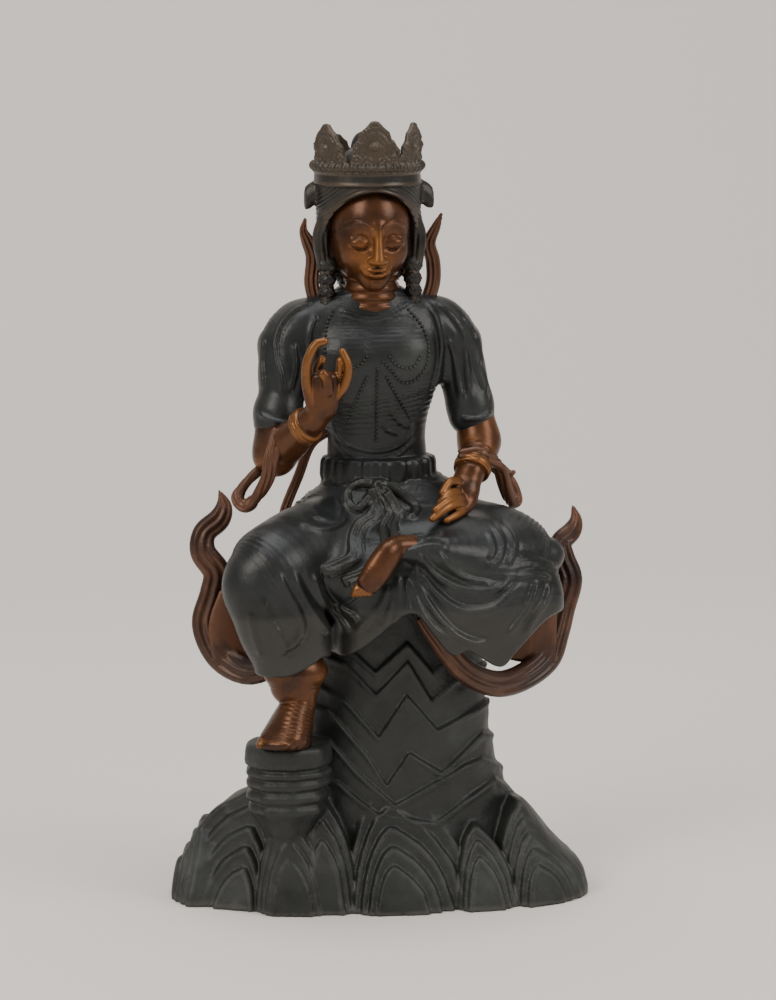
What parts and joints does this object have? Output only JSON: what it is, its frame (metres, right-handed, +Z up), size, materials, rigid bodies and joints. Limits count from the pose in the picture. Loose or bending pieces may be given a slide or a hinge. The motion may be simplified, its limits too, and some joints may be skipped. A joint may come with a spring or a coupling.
{
  "type": "seated deity statue on rock plinth",
  "caption": "Cast bronze seated deity with crown, raised hand and flame-like scarves, one leg down to a footrest, on a rock plinth.",
  "frame": {"origin": "centre of the part's box, on its underside", "axes": "+Z up, the figure faces -Y, +X towards the folded knee"},
  "size_m": [0.2302, 0.1152, 0.4215],
  "materials": {
    "figure_bronze": "dark patinated bronze, satin, brown on the skin and the scarves",
    "rock_bronze": "black-green patinated bronze, satin"
  },
  "bodies": {
    "root": {"seated_figure": "figure_bronze", "rock_plinth": "rock_bronze"}
  },
  "joints": []
}
